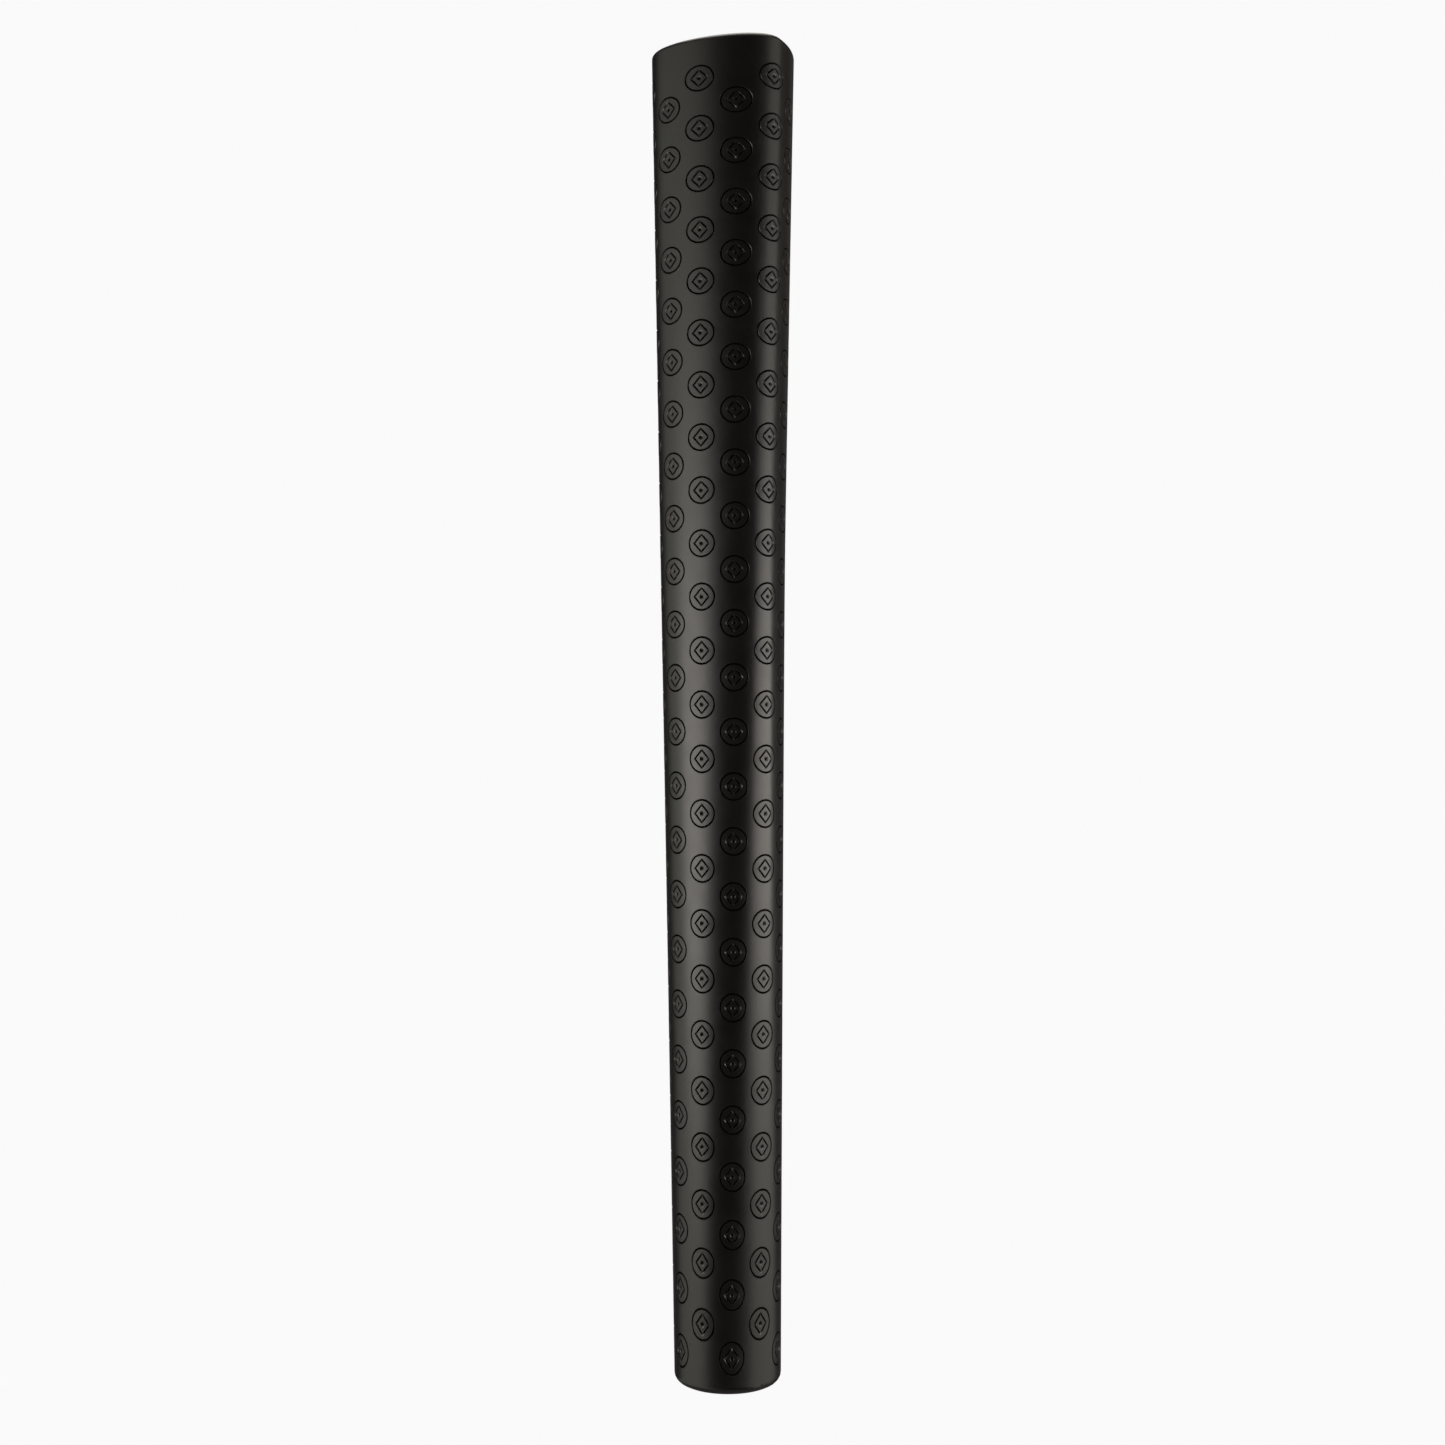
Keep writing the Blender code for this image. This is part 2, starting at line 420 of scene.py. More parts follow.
class Grip:
    """Places on the grip from its shape: angle 0 and column 0 are the middle of the front."""

    def __init__(self, scene):
        self.shape = scene.grip_shape
        self.pattern = scene.ring_pattern

    def size(self, values, height):
        """A size at this height. The two tapers meet at the waist with a softened corner."""
        mouth, waist, butt = values
        above = height - self.shape.waist
        softened = (above + math.hypot(above, self.shape.waist_blend)) / 2
        lower_slope = (waist - mouth) / self.shape.waist
        upper_slope = (butt - waist) / (BUTT - self.shape.waist)
        return mouth + lower_slope * height + (upper_slope - lower_slope) * softened

    @cache
    def sizes(self, height):
        shape = self.shape
        wanted = (shape.half_width, shape.widest, shape.front, shape.back)
        return [self.size(values, height) for values in wanted]

    def point(self, angle, height, inset=0.0, shaped_by=None):
        """A point of the section. shaped_by is the height that the section is taken from."""
        half_width, widest, front, back = self.sizes(height if shaped_by is None else shaped_by)
        forward = math.cos(angle)
        if forward > 0:
            depth = front - inset - widest
        else:
            depth = back - inset + widest
        return Vector(((half_width - inset) * math.sin(angle), -(widest + depth * forward), height))

    @cache
    def arcs(self, height):
        """Lengths along the section from the front, for even steps of the angle, and the angles."""
        angles = np.linspace(0.0, math.pi, ARC_STEPS + 1)
        points = np.array([self.point(angle, height) for angle in angles])
        steps = np.linalg.norm(np.diff(points, axis=0), axis=1)
        return np.concatenate([[0.0], np.cumsum(steps)]), angles

    def column_angle(self, column, height):
        """Angle of a column, which may be a fraction, counted from the front."""
        arcs, angles = self.arcs(round(height, 6))
        spacing = 2 * arcs[-1] / self.pattern.columns_round
        return math.copysign(np.interp(abs(column) * spacing, arcs, angles), column)

    def beside_slot(self, angle, height, inset, half_slot):
        """The angle, held back to where the section meets the edge of a slot at the back."""
        limit = math.pi - math.asin(half_slot / (self.sizes(height)[0] - inset))
        return max(-limit, min(limit, angle))

    def skin_point(self, column, height, inset=0.0, shaped_by=None):
        """A point of the skin, which stops at the seam slot."""
        shape_height = height if shaped_by is None else shaped_by
        angle = self.column_angle(column, shape_height)
        angle = self.beside_slot(angle, shape_height, inset, self.shape.seam_slot / 2)
        return self.point(angle, height, inset, shaped_by)

    def back_point(self, x, height, inset, shaped_by):
        """A point of the back at this distance from the seam's middle line."""
        angle = math.pi - math.asin(x / (self.sizes(shaped_by)[0] - inset))
        return self.point(angle, height, inset, shaped_by)

    def normal(self, column, height):
        """Outward normal of the smooth outside surface."""
        angle = self.column_angle(column, height)
        angle = self.beside_slot(angle, height, 0.0, self.shape.seam_slot / 2)
        around = self.point(angle + TURN_STEP, height) - self.point(angle - TURN_STEP, height)
        up = self.point(angle, height + HEIGHT_STEP) - self.point(angle, height - HEIGHT_STEP)
        return around.cross(up).normalized()

    def row_height(self, row):
        """Height of a row, which may be a fraction, held above the turned-in mouth."""
        # The pitch grows by pitch_growth per row, and that growth falls by growth_fall per row.
        # The way down is the pitch added up over the rows, hence the 2 and the 6.
        pattern = self.pattern
        lowest = pattern.rows - 0.5
        stretch = pattern.mouth_stretch * (max(row, 0.0) / lowest) ** STRETCH_POWER
        growth = pattern.pitch_growth / 2 - pattern.growth_fall * row / 6
        down = pattern.pitch * row + growth * row * row + stretch
        return max(pattern.first_row - down, self.shape.mouth_round)

    def turned_end(self, middle, radius, corner, towards):
        """Loops of a turned end from its side to its face. towards is 1 up, -1 down."""
        loops = []
        for step in range(1, ROUND_STEPS + 1):
            turn = math.pi / 2 * step / ROUND_STEPS
            height = middle + towards * radius * math.sin(turn)
            loops.append(Loop(height, corner - radius * math.cos(turn), middle))
        return loops

    def over_and_inside(self, sunk=0.0):
        """Loops of the skin from its outside over the butt, down the inside and round the mouth."""
        shape = self.shape
        butt = BUTT - shape.butt_round
        mouth = shape.mouth_round
        inside = [butt + (mouth - butt) * step / BODY_STEPS for step in range(BODY_STEPS + 1)]
        butt_inside = self.turned_end(butt, shape.butt_round - shape.wall, shape.butt_round, 1)
        mouth_outside = self.turned_end(mouth, shape.mouth_round - sunk, shape.mouth_round, -1)
        return [
            Loop(butt, sunk, butt),
            *self.turned_end(butt, shape.butt_round - sunk, shape.butt_round, 1),
            *reversed(butt_inside),
            *[Loop(height, shape.wall, height) for height in inside],
            *self.turned_end(mouth, shape.mouth_round - shape.wall, shape.mouth_round, -1),
            *reversed(mouth_outside),
            Loop(mouth, sunk, mouth),
        ]

    def whole_outline(self, sunk):
        """Loops all the way round the skin's wall, with its outside sunk by this much."""
        closed = self.over_and_inside(sunk)
        butt, mouth = closed[0].height, closed[-1].height
        heights = [mouth + (butt - mouth) * step / BODY_STEPS for step in range(1, BODY_STEPS)]
        return closed + [Loop(height, sunk, height) for height in heights]


# Mesh helpers


def next_loop(mesh, loop, closed=True):
    """Extrudes a ring or a chain of vertices and returns the new ones in the same order."""
    pairs = zip(loop, loop[1:] + loop[:1] if closed else loop[1:])
    edges = [mesh.edges.get(pair) for pair in pairs]
    made = set(bmesh.ops.extrude_edge_only(mesh, edges=edges)["geom"])
    return [next(e.other_vert(v) for e in v.link_edges if e.other_vert(v) in made) for v in loop]


def first_ring(mesh, points):
    """Makes a ring of vertices through these points."""
    ring = bmesh.ops.create_circle(mesh, cap_ends=False, segments=len(points), radius=1.0)["verts"]
    return moved(ring, points)


def moved(vertices, points):
    for vertex, point in zip(vertices, points):
        vertex.co = point
    return vertices


def turned_solid(rings):
    """A closed solid through these rings of points in turn, and from the last to the first."""
    mesh = bmesh.new()
    ring = first_ring(mesh, rings[0])
    for points in rings[1:] + rings[:1]:
        ring = moved(next_loop(mesh, ring), points)
    bmesh.ops.remove_doubles(mesh, verts=mesh.verts, dist=WELD)
    return mesh


def soften_edges(mesh, width):
    """Bevels the edges where the surface turns sharply."""
    sharp = [edge for edge in mesh.edges if edge.calc_face_angle(0.0) > CREASE]
    bmesh.ops.bevel(
        mesh,
        geom=sharp,
        offset=width,
        offset_type="OFFSET",
        segments=2,
        profile=0.5,
        affect="EDGES",
        material=-1,
        clamp_overlap=True,
    )


def finished(name, mesh, material):
    """Makes the bmesh a smooth-shaded piece of the grip's one body."""
    bmesh.ops.recalc_face_normals(mesh, faces=mesh.faces)
    if mesh.calc_volume(signed=True) < 0:
        bmesh.ops.reverse_faces(mesh, faces=mesh.faces)
    data = bpy.data.meshes.new(name)
    mesh.to_mesh(data)
    mesh.free()
    piece = bpy.data.objects.new(name, data)
    bpy.context.scene.collection.objects.link(piece)
    data.materials.append(material)
    data.shade_smooth()
    data.set_sharp_from_angle(angle=CREASE)
    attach(piece, "root")
    return piece


# Materials


class Value:
    """An output socket. Sums and products of it add Math nodes to its material."""

    def __init__(self, nodes, socket):
        self.nodes = nodes
        self.socket = socket

    def maths(self, operation, first, second):
        return self.nodes.add("ShaderNodeMath", {"operation": operation}, {0: first, 1: second})

    def __add__(self, other):
        return self.maths("ADD", self, other)

    __radd__ = __add__

    def __mul__(self, other):
        return self.maths("MULTIPLY", self, other)

    __rmul__ = __mul__


class Nodes:
    """A material with an empty node tree, filled by add."""

    def __init__(self, name):
        self.material = bpy.data.materials.new(name)
        self.material.use_nodes = True
        self.tree = self.material.node_tree
        self.tree.nodes.clear()

    def add(self, kind, settings, inputs, output=0):
        """Adds a node: its settings first, then the values or links of its sockets."""
        node = self.tree.nodes.new(kind)
        for name, setting in settings.items():
            setattr(node, name, setting)
        for name, given in inputs.items():
            socket = self.input_of(node, name)
            if isinstance(given, Value):
                self.tree.links.new(given.socket, socket)
            else:
                socket.default_value = given
        return Value(self, node.outputs[output]) if node.outputs else node

    @staticmethod
    def input_of(node, name):
        """The socket with this number or, of those in use, this name."""
        if isinstance(name, int):
            return node.inputs[name]
        return next(s for s in node.inputs if s.name == name and s.enabled)

    def place(self, stretch=(1.0, 1.0, 1.0)):
        """The piece's own coordinates in metres, stretched."""
        coordinates = self.add("ShaderNodeTexCoord", {}, {}, "Object")
        return self.add("ShaderNodeMapping", {}, {"Vector": coordinates, "Scale": stretch})

    def noise(self, vector, scale, detail=3.0, roughness=0.5):
        inputs = {"Vector": vector, "Scale": scale, "Detail": detail, "Roughness": roughness}
        return self.add("ShaderNodeTexNoise", {}, inputs)

    def mottled(self, factor, colour, dark, pale):
        """The colour, multiplied by from dark to pale as the factor goes from 0 to 1."""
        kind = {"data_type": "RGBA", "clamp_factor": True}
        inputs = {"Factor": factor, "A": opaque(colour, dark), "B": opaque(colour, pale)}
        return self.add("ShaderNodeMix", kind, inputs, 2)

    def bump(self, height, distance, strength):
        inputs = {"Height": height, "Distance": distance, "Strength": strength}
        return self.add("ShaderNodeBump", {}, inputs)

    def principled(self, inputs):
        return self.add("ShaderNodeBsdfPrincipled", {}, inputs)

    def surface(self, shader):
        self.add("ShaderNodeOutputMaterial", {}, {"Surface": shader})
        return self.material


def opaque(colour, share):
    return (*[share * part for part in colour], 1.0)


def skin_material(finish):
    """Satin black polyurethane with a fine grain, with painted shade in the grooves: darker, rougher
    and less reflective towards their bottoms.
    """
    nodes = Nodes("satin_polyurethane")
    place = nodes.place()
    mottle = nodes.noise(place, scale=260.0)
    grain = nodes.noise(place, scale=2600.0, detail=2.0, roughness=0.6)
    satin = {
        "Base Color": nodes.mottled(mottle, finish.skin_colour, dark=0.75, pale=1.3),
        "Roughness": finish.skin_roughness - 0.05 + 0.1 * mottle,
        "Specular IOR Level": 1.0,
        "Normal": nodes.bump(grain, distance=0.02 * MM, strength=0.25),
    }
    # Painted shade for the grooves: a darker colour and a weak reflection stand in for the shade down
    # in them, blended in by the groove depth below
    groove_shade_paint = {
        "Base Color": nodes.mottled(mottle, finish.groove_shade_colour, dark=1.0, pale=2.0),
        "Roughness": 0.7 + 0.1 * mottle,
        "Specular IOR Level": 0.1,
    }
    depth = nodes.add("ShaderNodeAttribute", {"attribute_name": "groove"}, {}, "Fac")
    sunk = {"Value": depth, "From Min": 0.15, "From Max": 0.6}
    blend = {
        0: nodes.add("ShaderNodeMapRange", {}, sunk),
        1: nodes.principled(satin),
        2: nodes.principled(groove_shade_paint),
    }
    return nodes.surface(nodes.add("ShaderNodeMixShader", {}, blend))


def bead_material(finish):
    """Cast polyurethane of the seam, a little duller and smoother-grained than the skin."""
    nodes = Nodes("cast_polyurethane")
    place = nodes.place()
    mottle = nodes.noise(place, scale=500.0)
    grain = nodes.noise(place, scale=1800.0, detail=2.0, roughness=0.6)
    bead = {
        "Base Color": nodes.mottled(mottle, finish.skin_colour, dark=0.9, pale=1.7),
        "Roughness": finish.skin_roughness + 0.06 + 0.1 * mottle,
        "Specular IOR Level": 1.0,
        "Normal": nodes.bump(grain, distance=0.02 * MM, strength=0.3),
    }
    return nodes.surface(nodes.principled(bead))


def rubber_material(finish, name):
    """Matt black moulded rubber with a fine spark-eroded texture."""
    nodes = Nodes(name)
    place = nodes.place()
    patches = nodes.noise(place, scale=420.0)
    speckle = nodes.noise(place, scale=5200.0, detail=2.0, roughness=0.7)
    rubber = {
        "Base Color": nodes.mottled(patches, finish.rubber_colour, dark=0.8, pale=1.4),
        "Roughness": 0.5 + 0.15 * patches,
        "Normal": nodes.bump(speckle, distance=0.03 * MM, strength=0.6),
    }
    return nodes.surface(nodes.principled(rubber))


def felt_material(finish):
    """Pressed felt: pale fibres lying every way, with a soft nap."""
    nodes = Nodes("pressed_felt")
    stretched = nodes.place((1.0, 1.0, 0.35))
    fibres = nodes.noise(stretched, scale=3200.0, detail=6.0, roughness=0.75)
    clumps = nodes.noise(nodes.place(), scale=500.0)
    mottle = 0.6 * fibres + 0.4 * clumps
    felt = {
        "Base Color": nodes.mottled(mottle, finish.felt_colour, dark=0.65, pale=1.25),
        "Roughness": 0.85 + 0.12 * clumps,
        "Sheen Weight": 0.35,
        "Normal": nodes.bump(fibres, distance=0.12 * MM, strength=0.8),
    }
    return nodes.surface(nodes.principled(felt))


def core_material(finish):
    """Fine-celled moulded foam rubber."""
    nodes = Nodes("foam_rubber")
    place = nodes.place()
    cells = nodes.add("ShaderNodeTexVoronoi", {}, {"Vector": place, "Scale": 2400.0})
    patches = nodes.noise(place, scale=350.0)
    mottle = 0.5 * cells + 0.5 * patches
    core = {
        "Base Color": nodes.mottled(mottle, finish.core_colour, dark=0.7, pale=1.35),
        "Roughness": 0.78 + 0.15 * patches,
        "Normal": nodes.bump(cells, distance=0.08 * MM, strength=0.7),
    }
    return nodes.surface(nodes.principled(core))


# Embossed skin


def cell_border(step):
    """Cell outline from the middle of its top side, clockwise, in columns and rows."""
    corner = CELL_STEPS_ACROSS // 2
    side = corner + CELL_STEPS_DOWN
    stops = (0, corner, side, side + 2 * corner, CELL_STEPS - corner, CELL_STEPS)
    x = np.interp(step, stops, (0.0, 0.5, 0.5, -0.5, -0.5, 0.0))
    y = np.interp(step, stops, (0.5, 0.5, -0.5, -0.5, 0.5, 0.5))
    return x, y


def oval(step):
    turn = 2 * math.pi * step / CELL_STEPS
    return math.sin(turn), math.cos(turn)


def lozenge(step):
    x, y = oval(step)
    reach = 1 / (abs(x) + abs(y))
    return reach * x, reach * y


def cell_loops(pattern):
    """The loops of one cell as (outline, half width, half height, depth at each step)."""
    groove = pattern.groove_width
    groove_up = groove * COLUMN_TO_PITCH
    depth = pattern.groove_depth
    flat = [0.0] * CELL_STEPS
    full = [depth] * CELL_STEPS
    broken = [0.0 if step % (CELL_STEPS // 4) == 0 else depth for step in range(CELL_STEPS)]
    ring = (pattern.ring_width, pattern.ring_height)
    mark = (pattern.mark_width, pattern.mark_height)
    dot = [pattern.dot * size for size in mark]
    loops = [(oval, ring[0] + groove, ring[1] + groove_up, flat), (oval, *ring, full)]
    loops += [(oval, ring[0] - groove, ring[1] - groove_up, flat)]
    groove *= MARK_BOLDNESS
    groove_up *= MARK_BOLDNESS
    loops += [(lozenge, mark[0] + groove, mark[1] + groove_up, flat), (lozenge, *mark, broken)]
    loops += [(lozenge, mark[0] - groove, mark[1] - groove_up, flat), (oval, *dot, flat)]
    return loops


def flat_cell(pattern):
    """One cell, flat: X counts columns, Y rows upwards and Z is the depth below the surface."""
    mesh = bmesh.new()
    mesh.verts.layers.float.new("groove")
    mesh.verts.layers.float_vector.new("smooth")
    loop = bmesh.ops.create_circle(mesh, cap_ends=False, segments=CELL_STEPS, radius=0.5)["verts"]
    for step, vertex in enumerate(loop):
        vertex.co = (*cell_border(step), 0.0)
    for outline, half_width, half_height, depths in cell_loops(pattern):
        loop = next_loop(mesh, loop)
        for step, vertex in enumerate(loop):
            x, y = outline(step)
            vertex.co = (half_width * x, half_height * y, depths[step])
    middle = mesh.faces.new(loop)
    dot = bmesh.ops.poke(mesh, faces=[middle])["verts"][0]
    dot.co.z = pattern.groove_depth
    return mesh


def shifted_copy(mesh, parts, shift):
    """Copies these parts of the mesh, moves the copy and returns its parts."""
    copy = bmesh.ops.duplicate(mesh, geom=parts)["geom"]
    vertices = [part for part in copy if isinstance(part, bmesh.types.BMVert)]
    bmesh.ops.translate(mesh, vec=shift, verts=vertices)
    return copy


def plain_half_cell(mesh, middle_row):
    """Adds half a cell with no ring in it and returns its parts."""
    steps = {"x_segments": CELL_STEPS_ACROSS, "y_segments": CELL_STEPS_DOWN // 2}
    vertices = bmesh.ops.create_grid(mesh, size=0.5, **steps)["verts"]
    bmesh.ops.scale(mesh, vec=(1.0, 0.5, 1.0), verts=vertices)
    bmesh.ops.translate(mesh, vec=(0.0, -middle_row, 0.0), verts=vertices)
    edges = {edge for vertex in vertices for edge in vertex.link_edges}
    faces = {face for vertex in vertices for face in vertex.link_faces}
    return [*vertices, *edges, *faces]


def flat_pattern(pattern):
    """Every cell, flat. Odd columns start half a row lower, after a plain half cell."""
    mesh = flat_cell(pattern)
    cell = [*mesh.verts, *mesh.edges, *mesh.faces]
    column = list(cell)
    for row in range(1, pattern.rows):
        column += shifted_copy(mesh, cell, (0.0, -row, 0.0))
    plain = plain_half_cell(mesh, pattern.rows - 0.25)
    side = pattern.columns // 2
    for index in [*range(-side, 0), *range(1, side + 1)]:
        odd = index % 2
        shifted_copy(mesh, column, (index, -0.5 * odd, 0.0))
        shifted_copy(mesh, plain, (index, pattern.rows * odd, 0.0))
    bmesh.ops.remove_doubles(mesh, verts=mesh.verts, dist=FLAT_WELD)
    return mesh


def edge_at(mesh, row):
    """The vertices of the pattern's edge at this row, from left to right."""
    edge = [vertex for vertex in mesh.verts if abs(vertex.co.y + row) < FLAT_WELD]
    return sorted(edge, key=lambda vertex: vertex.co.x)


def wrap(mesh, grip):
    """Wraps the flat pattern round the grip and keeps each vertex's depth and smooth normal."""
    groove = mesh.verts.layers.float["groove"]
    smooth = mesh.verts.layers.float_vector["smooth"]
    for vertex in mesh.verts:
        column, row, depth = vertex.co
        height = grip.row_height(-row)
        # This depth share is also the mask for the painted shade in the grooves of the skin's material
        vertex[groove] = depth / grip.pattern.groove_depth
        vertex[smooth] = grip.normal(column, height)
        vertex.co = grip.skin_point(column, height, depth)


def set_smooth_normals(data):
    """Shades the plain surface as one smooth shape, so that it isn't dented beside a groove."""
    smooth = [tuple(entry.vector) for entry in data.attributes["smooth"].data]
    normals = [(0.0, 0.0, 0.0)] * len(data.loops)  # zero keeps the normal that Blender works out
    for face in data.polygons:
        for index in face.loop_indices:
            normal = smooth[data.loops[index].vertex_index]
            if face.normal.dot(normal) > PLAIN:
                normals[index] = normal
    data.normals_split_custom_set(normals)
    data.attributes.remove(data.attributes["smooth"])


def embossed_skin(scene):
    """Debossed polyurethane panel, wrapped round with its two edges facing at the back."""
    grip = Grip(scene)
    pattern = grip.pattern
    mesh = flat_pattern(pattern)
    top = edge_at(mesh, -0.5)
    bottom = edge_at(mesh, pattern.rows)
    columns = [vertex.co.x for vertex in top]
    wrap(mesh, grip)
    smooth = mesh.verts.layers.float_vector["smooth"]
    chain = top
    for loop in grip.over_and_inside():
        chain = next_loop(mesh, chain, closed=False)
        moved(chain, [grip.skin_point(column, *loop) for column in columns])
        if loop.inset == 0.0:
            for column, vertex in zip(columns, chain):
                vertex[smooth] = grip.normal(column, loop.height)
    bmesh.ops.remove_doubles(mesh, verts=chain + bottom, dist=SKIN_WELD)
    open_edges = [edge for edge in mesh.edges if edge.is_boundary]
    bmesh.ops.holes_fill(mesh, edges=open_edges, sides=0)
    piece = finished("embossed_skin", mesh, skin_material(scene.grip_finish))
    set_smooth_normals(piece.data)
    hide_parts("outer_skin")


# Seam bead


def seam_bead(scene):
    """Polyurethane bead with rounded sides in the slot between the skin's two edges."""
    grip = Grip(scene)
    half_width = grip.shape.seam_slot / 2 - BEAD_GAP
    shares = [math.sin(math.pi / 2 * step / BEAD_STEPS) for step in range(-BEAD_STEPS, BEAD_STEPS + 1)]
    mesh = bmesh.new()
    ring = None
    for share in shares:
        outline = grip.whole_outline(BEAD_CROWN * (1 - math.sqrt(1 - share * share)))
        points = [grip.back_point(half_width * share, *loop) for loop in outline]
        if ring is None:
            ring = first_ring(mesh, points)
            mesh.faces.new(ring)
        else:
            ring = moved(next_loop(mesh, ring), points)
    mesh.faces.new(ring)
    piece = finished("seam_bead", mesh, bead_material(scene.grip_finish))
    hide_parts("seam_filler")


# Butt cap and mouth collar


def round_ring(height, radius):
    """A ring of points round the shaft's axis."""
    return [(radius * math.sin(turn), -radius * math.cos(turn), height) for turn in TURNS]


def section_ring(grip, height, inset):
    """A ring of points that follows the grip's section, this far in from its outside."""
    return [grip.point(turn, height, inset) for turn in TURNS]


def butt_plug(scene):
    """Moulded cap: a plate in the skin's rim with a vent, and a spigot down in the bore."""
    grip = Grip(scene)
    shape = grip.shape
    low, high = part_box("butt_cap")
    top = high.z
    shoulder = top - CAP_SHOULDER
    underside = top - CAP_PLATE
    plate = shape.butt_round + shape.gap
    flange = shape.wall + shape.gap
    rings = [
        round_ring(top - CAP_VENT_SINK, CAP_VENT),
        round_ring(top, CAP_VENT + CAP_VENT_SINK),
        round_ring(top, CAP_CHANNEL - CAP_CHANNEL_DEPTH),
        round_ring(top - CAP_CHANNEL_DEPTH, CAP_CHANNEL),
        round_ring(top - CAP_CHANNEL_DEPTH, CAP_CHANNEL + CAP_CHANNEL_WIDTH),
        round_ring(top, CAP_CHANNEL + CAP_CHANNEL_WIDTH + CAP_CHANNEL_DEPTH),
        section_ring(grip, top, plate + CAP_EDGE),
        section_ring(grip, top - CAP_EDGE, plate),
        section_ring(grip, shoulder, plate),
        section_ring(grip, shoulder, flange),
        section_ring(grip, underside, flange),
        round_ring(underside, CAP_SPIGOT),
        round_ring(low.z + CAP_EDGE, CAP_SPIGOT),
        round_ring(low.z, CAP_SPIGOT - CAP_EDGE),
        round_ring(low.z, CAP_SPIGOT_INSIDE),
        round_ring(underside, CAP_SPIGOT_INSIDE),
        round_ring(underside, CAP_VENT),
    ]
    mesh = turned_solid(rings)
    soften_edges(mesh, CAP_SOFT)
    piece = finished("butt_plug", mesh, rubber_material(scene.grip_finish, "cap_rubber"))
    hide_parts("butt_cap")


def mouth_ring(scene):
    """Moulded collar that holds the skin's turned-in edge round the mouth."""
    low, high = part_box("mouth_collar")
    shape = scene.grip_shape
    step = shape.wall + shape.gap
    lower_radius = shape.half_width[0] - shape.mouth_round - shape.gap
    rings = [
        round_ring(low.z, COLLAR_BORE + COLLAR_CHAMFER),
        round_ring(low.z, lower_radius),
        round_ring(step, lower_radius),
        round_ring(step, high.x),
        round_ring(high.z, high.x),
        round_ring(high.z, COLLAR_BORE),
        round_ring(low.z + COLLAR_CHAMFER, COLLAR_BORE),
    ]
    mesh = turned_solid(rings)
    soften_edges(mesh, COLLAR_SOFT)
    piece = finished("mouth_ring", mesh, rubber_material(scene.grip_finish, "collar_rubber"))
    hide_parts("mouth_collar")


# Layers under the skin


def coat(node, material):
    """Gives a CAD node this material alone."""
    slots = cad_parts[node].data.materials
    slots.clear()
    slots.append(material)


def inner_layers(scene):
    """Felt and moulded core, whose own shapes stay."""
    coat("felt_backing", felt_material(scene.grip_finish))
    coat("underlisting", core_material(scene.grip_finish))


# Studio


def placed(name, data, location, rotation=(0.0, 0.0, 0.0)):
    thing = bpy.data.objects.new(name, data)
    thing.location = location
    thing.rotation_euler = rotation
    bpy.context.scene.collection.objects.link(thing)
    return thing


def bowl(studio):
    """Pale floor that sweeps up into a backdrop all the way round and over the top."""
    mesh = bmesh.new()
    bmesh.ops.create_icosphere(mesh, subdivisions=5, radius=BOWL_RADIUS)
    floor = -studio.floor_depth
    for vertex in mesh.verts:
        vertex.co.z = max(vertex.co.z, floor)
    data = bpy.data.meshes.new("studio_bowl")
    mesh.to_mesh(data)
    mesh.free()
    data.shade_smooth()
    nodes = Nodes("backdrop_paper")
    white = studio.backdrop_white
    glow = nodes.add("ShaderNodeEmission", {}, {"Color": (white, white, white, 1.0)})
    data.materials.append(nodes.surface(glow))
    backdrop = placed("studio_bowl", data, (0.0, 0.0, 0.0))
    backdrop.visible_diffuse = False
    backdrop.visible_glossy = False
    backdrop.visible_shadow = False


def softbox(studio, lamp):
    """Places one of the lamps, facing the middle of the grip."""
    light = bpy.data.lights.new(lamp.name, "AREA")
    light.shape = "RECTANGLE"
    light.size = lamp.width
    light.size_y = lamp.height
    radiance = getattr(studio, lamp.glow) * lamp.share
    light.energy = radiance * math.pi * light.size * light.size_y
    light.color = lamp.colour
    turn = studio.camera_turn + math.radians(lamp.turn)
    rise = math.radians(lamp.rise)
    level = math.cos(rise)
    way = Vector((math.sin(turn) * level, -math.cos(turn) * level, math.sin(rise)))
    place = Vector((0.0, 0.0, MIDDLE)) + way * lamp.distance
    made = placed(lamp.name, light, place, (-way).to_track_quat("-Z", "Y").to_euler())
    made.visible_camera = False


def camera(studio):
    lens = bpy.data.cameras.new("camera")
    lens.lens = studio.lens
    lens.clip_start = 0.01
    turn = studio.camera_turn
    distance, side = studio.camera_distance, -studio.camera_side
    place = (
        distance * math.sin(turn) + side * math.cos(turn),
        -distance * math.cos(turn) + side * math.sin(turn),
        studio.camera_height,
    )
    bpy.context.scene.camera = placed("camera", lens, place, (math.pi / 2, 0.0, turn))


def studio_set(scene):
    studio = scene.grip_studio
    camera(studio)
    bowl(studio)
    for lamp in LAMPS:
        softbox(studio, lamp)
    world = bpy.data.worlds.new("studio")
    world.use_nodes = True
    background = world.node_tree.nodes["Background"]
    background.inputs["Color"].default_value = (DUSK, DUSK, DUSK, 1.0)
    scene.world = world
    scene.view_settings.view_transform = "Standard"


# Operators, in the order that main runs them


class GRIP_OT_skin(bpy.types.Operator):
    """Wrap the embossed skin round the grip"""

    bl_idname = "putter_grip.skin"
    bl_label = "Embossed Skin"

    def execute(self, context):
        embossed_skin(context.scene)
        return {"FINISHED"}


class GRIP_OT_seam(bpy.types.Operator):
    """Fill the seam down the back"""

    bl_idname = "putter_grip.seam"
    bl_label = "Seam Bead"

    def execute(self, context):
        seam_bead(context.scene)
        return {"FINISHED"}


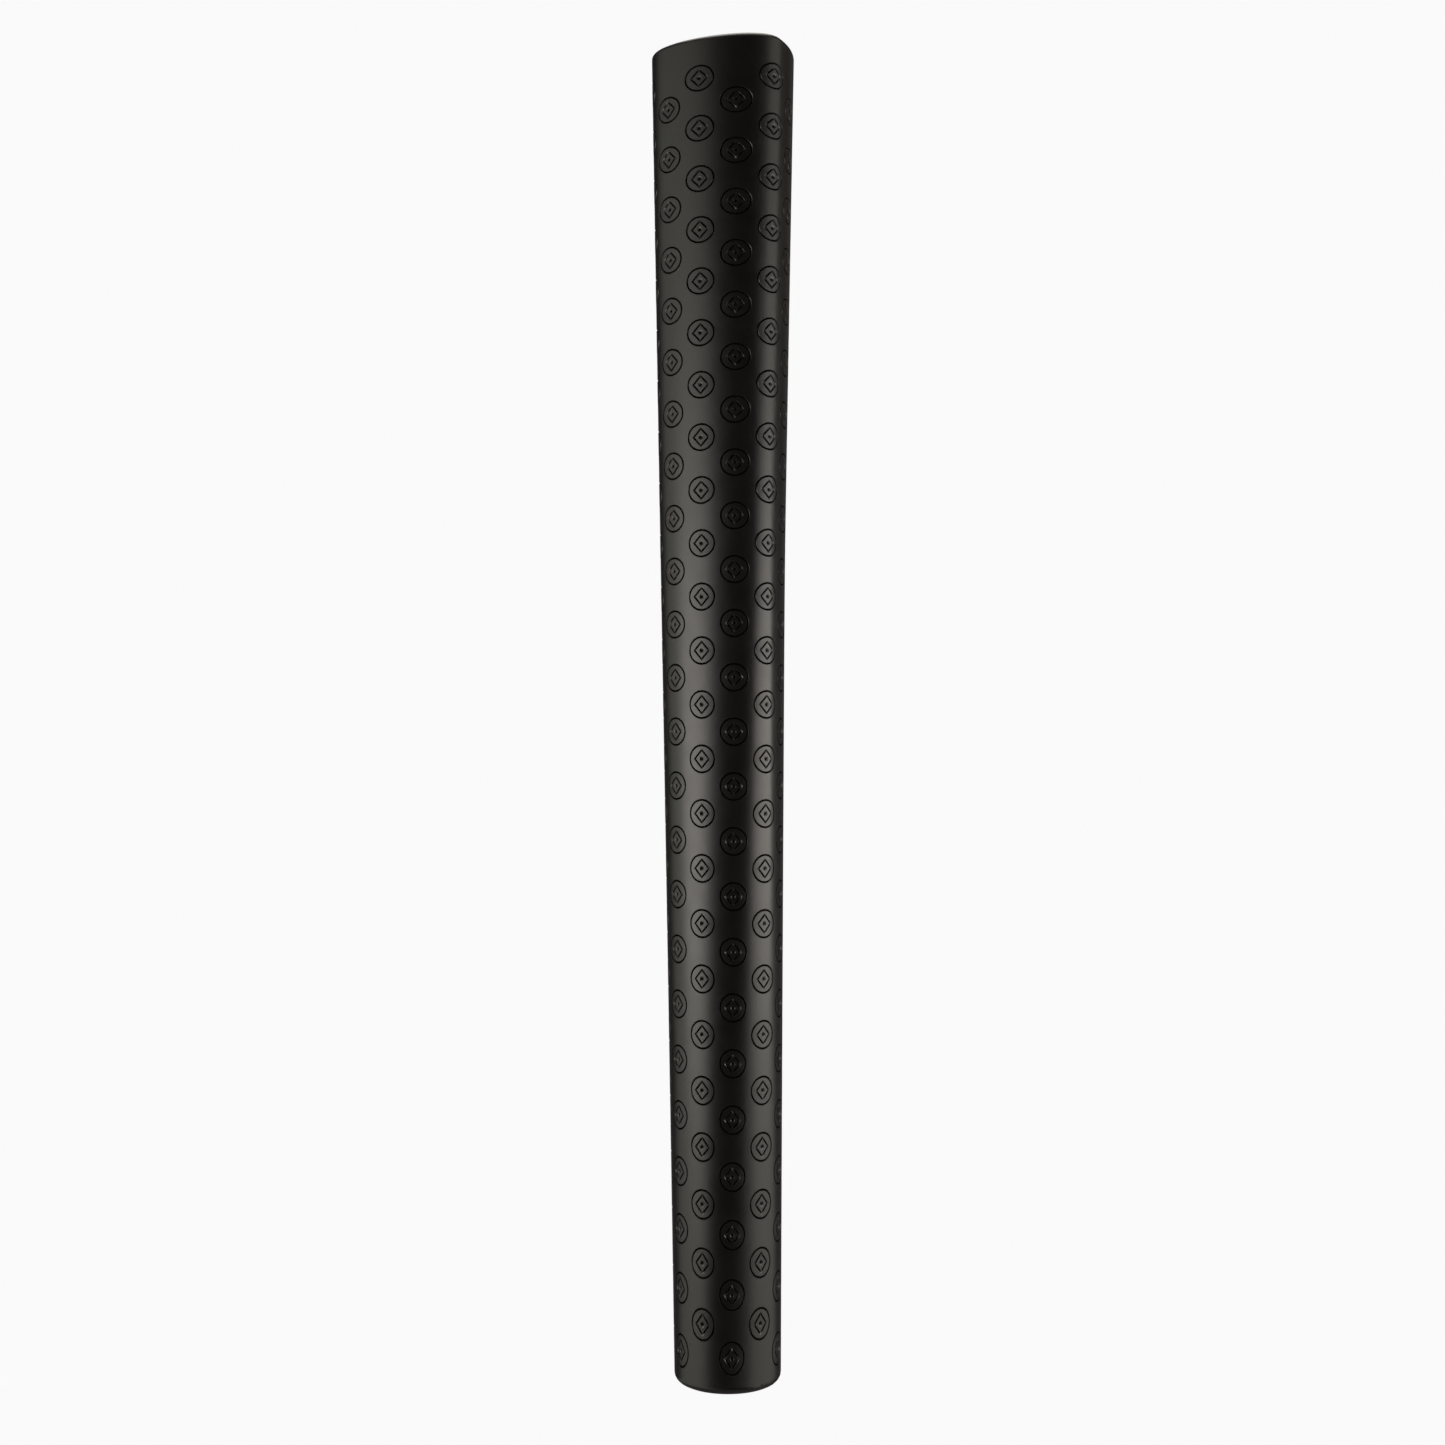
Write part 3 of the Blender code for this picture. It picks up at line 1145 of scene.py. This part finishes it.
class GRIP_OT_cap(bpy.types.Operator):
    """Close the butt with its vented cap"""

    bl_idname = "putter_grip.cap"
    bl_label = "Butt Cap"

    def execute(self, context):
        butt_plug(context.scene)
        return {"FINISHED"}


class GRIP_OT_collar(bpy.types.Operator):
    """Fit the collar at the mouth"""

    bl_idname = "putter_grip.collar"
    bl_label = "Mouth Collar"

    def execute(self, context):
        mouth_ring(context.scene)
        return {"FINISHED"}


class GRIP_OT_layers(bpy.types.Operator):
    """Give the felt and the core their materials"""

    bl_idname = "putter_grip.layers"
    bl_label = "Inner Layers"

    def execute(self, context):
        inner_layers(context.scene)
        return {"FINISHED"}


class GRIP_OT_studio(bpy.types.Operator):
    """Set up the camera, the lights and the floor"""

    bl_idname = "putter_grip.studio"
    bl_label = "Studio"

    def execute(self, context):
        studio_set(context.scene)
        return {"FINISHED"}


OPERATORS = (
    GRIP_OT_skin,
    GRIP_OT_seam,
    GRIP_OT_cap,
    GRIP_OT_collar,
    GRIP_OT_layers,
    GRIP_OT_studio,
)
SETTINGS = {
    "grip_shape": GripShape,
    "ring_pattern": RingPattern,
    "grip_finish": GripFinish,
    "grip_studio": Studio,
}


class GRIP_PT_panel(bpy.types.Panel):
    """Lists the pieces of the grip and its settings"""

    bl_idname = "GRIP_PT_panel"
    bl_label = "Putter Grip"
    bl_space_type = "VIEW_3D"
    bl_region_type = "UI"
    bl_category = "Putter Grip"

    def draw(self, context):
        for operator in OPERATORS:
            self.layout.operator(operator.bl_idname)
        for name in SETTINGS:
            settings = getattr(context.scene, name)
            box = self.layout.box()
            for key in settings.__annotations__:
                box.prop(settings, key)


def register():
    for cls in (*SETTINGS.values(), *OPERATORS, GRIP_PT_panel):
        bpy.utils.register_class(cls)
    for name, cls in SETTINGS.items():
        setattr(bpy.types.Scene, name, PointerProperty(type=cls))


def unregister():
    for name in SETTINGS:
        delattr(bpy.types.Scene, name)
    for cls in (GRIP_PT_panel, *reversed(OPERATORS), *SETTINGS.values()):
        bpy.utils.unregister_class(cls)


def main():
    register()
    for operator in OPERATORS:
        group, name = operator.bl_idname.split(".")
        getattr(getattr(bpy.ops, group), name)()


if __name__ == "__main__":
    main()
